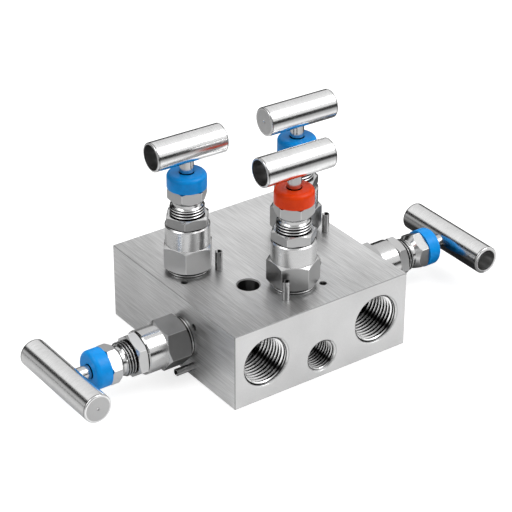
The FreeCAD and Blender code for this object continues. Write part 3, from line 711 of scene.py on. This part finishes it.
def studio_world():
    world = bpy.data.worlds.new("studio")
    bpy.context.scene.world = world
    world.use_nodes = True
    graph = Graph(world.node_tree)
    x, y, z = graph.parts(graph.add("ShaderNodeTexCoord", "Generated"))
    over_gap = z - (x * GAP_SLOPE.x + y * GAP_SLOPE.y + GAP_HEIGHT)
    tent = graph.add("ShaderNodeValToRGB", "Color", {"stops": TENT_STOPS}, {"Fac": over_gap + 0.5})
    toward_camera = x * TO_CAMERA.x + y * TO_CAMERA.y + z * TO_CAMERA.z
    behind = (x * BEHIND.x + y * BEHIND.y).step(0.3, 0.95)
    backed = graph.mix(behind * over_gap.step(0.1, 0.2), tent, grey(0.8))
    dimmed = graph.mix(toward_camera.step(0.7, 0.95), backed, grey(0.35))
    seen = graph.add("ShaderNodeLightPath", "Is Camera Ray")
    color = graph.mix(seen, dimmed, grey(1.0))
    light = graph.add("ShaderNodeBackground", "Background", None, {"Color": color, "Strength": 1.0})
    output = graph.tree.nodes.new("ShaderNodeOutputWorld")
    graph.tree.links.new(light.socket, output.inputs["Surface"])


studio_world()

# %% [markdown]
# The floor is pale paper. The camera sees it white, with the block's soft shadow. For the steel
# its colour is painted light and shade: bright near the block and dim further off, as a lit
# table in a dark room is. At the back left it is painted dimmer, which gives the block's left
# face its darker tone, and it is painted dark close by on the right and further behind the block.

# %% Floor
FLOOR_SIZE = 6.0
FLOOR_DROP = 0.2 * MM


def studio_floor():
    bpy.ops.object.select_all(action="DESELECT")
    bpy.ops.mesh.primitive_plane_add(size=FLOOR_SIZE, location=(0, 0, -FLOOR_DROP))
    floor = bpy.context.object
    floor.name = floor.data.name = "floor"
    material = bpy.data.materials.new("pale_floor")
    material.use_nodes = True
    graph = Graph(material.node_tree)
    x, y, z = graph.parts(graph.add("ShaderNodeTexCoord", "Object"))
    distance = (x * x + y * y).root()
    behind = (x * BEHIND.x + y * BEHIND.y).step(0.07, 0.2)
    back_left = (y - x).step(0.03, 0.08)
    # painted light and shade on the floor, as the steel sees it
    near_tone = graph.mix(back_left, grey(0.95), grey(0.63))
    middle_tone = graph.mix(distance.step(0.09, 0.22), near_tone, grey(0.45))
    far_tone = graph.mix(distance.step(0.25, 0.6), middle_tone, grey(0.02))
    beside = x.step(0.05, 0.075) * y.step(-0.05, -0.02)
    tone = graph.mix(behind, graph.mix(beside, far_tone, grey(0.12)), grey(0.03))
    seen = graph.add("ShaderNodeLightPath", "Is Camera Ray")
    reflected = graph.add("ShaderNodeBsdfDiffuse", "BSDF", None, {"Color": tone})
    paint = graph.add("ShaderNodeBsdfDiffuse", "BSDF", None, {"Color": grey(0.5)})
    glow = graph.add("ShaderNodeEmission", "Emission", None, {"Color": grey(1.0), "Strength": 0.75})
    shown = graph.add("ShaderNodeAddShader", "Shader", None, {0: paint, 1: glow})
    whole = graph.add("ShaderNodeMixShader", "Shader", None, {0: seen, 1: reflected, 2: shown})
    output = graph.tree.nodes.new("ShaderNodeOutputMaterial")
    graph.tree.links.new(whole.socket, output.inputs["Surface"])
    floor.data.materials.append(material)


studio_floor()

# %% [markdown]
# Two large softboxes give shape to the tent's even light, the stronger one from the front
# right and the weaker one from the left. Both are low in power, so that a colour renders
# about as it is written.


# %% Lamps
def softbox(name, place, aim, size, watts):
    lamp = bpy.data.lights.new(name, "AREA")
    lamp.shape = "RECTANGLE"
    lamp.size, lamp.size_y = size
    lamp.energy = watts
    holder = bpy.data.objects.new(name, lamp)
    bpy.context.scene.collection.objects.link(holder)
    direction = Vector(aim) - Vector(place)
    holder.location = place
    holder.rotation_euler = direction.to_track_quat("-Z", "Y").to_euler()


LAMP_AIM = (0, 0, 0.03)
softbox("key_softbox", place=(0.5, -0.5, 0.9), aim=LAMP_AIM, size=(0.6, 0.6), watts=5.0)
softbox("left_softbox", place=(-0.8, 0.1, 0.8), aim=LAMP_AIM, size=(0.5, 0.8), watts=3.0)
print("lamps:", [lamp.name for lamp in bpy.data.lights])

# %% [markdown]
# ## The camera
# The camera stands to the front and left, looks down by thirty degrees and is far away
# with a long lens, so the block's edges hardly converge.

# %% Camera
AIM = Vector((-1.083, 0.0, 34.87)) * MM
AZIMUTH = math.radians(35.635)
ELEVATION = math.radians(30.062)
DISTANCE = 813.1 * MM
ROLL = math.radians(0.194)
SENSOR_WIDTH = 36.0
LENS = 141.75
away = Vector((-math.sin(AZIMUTH) * math.cos(ELEVATION),
               -math.cos(AZIMUTH) * math.cos(ELEVATION), math.sin(ELEVATION)))
camera_data = bpy.data.cameras.new("camera")
camera_data.sensor_width = SENSOR_WIDTH
camera_data.lens = LENS
camera = bpy.data.objects.new("camera", camera_data)
bpy.context.scene.collection.objects.link(camera)
camera.location = AIM + away * DISTANCE
turn = (-away).to_track_quat("-Z", "Y").to_matrix()
camera.rotation_euler = (turn @ Matrix.Rotation(ROLL, 3, "Z")).to_euler()
bpy.context.scene.camera = camera
bpy.context.scene.view_settings.view_transform = "Standard"
print("camera:", [round(part / MM) for part in camera.location], "mm")
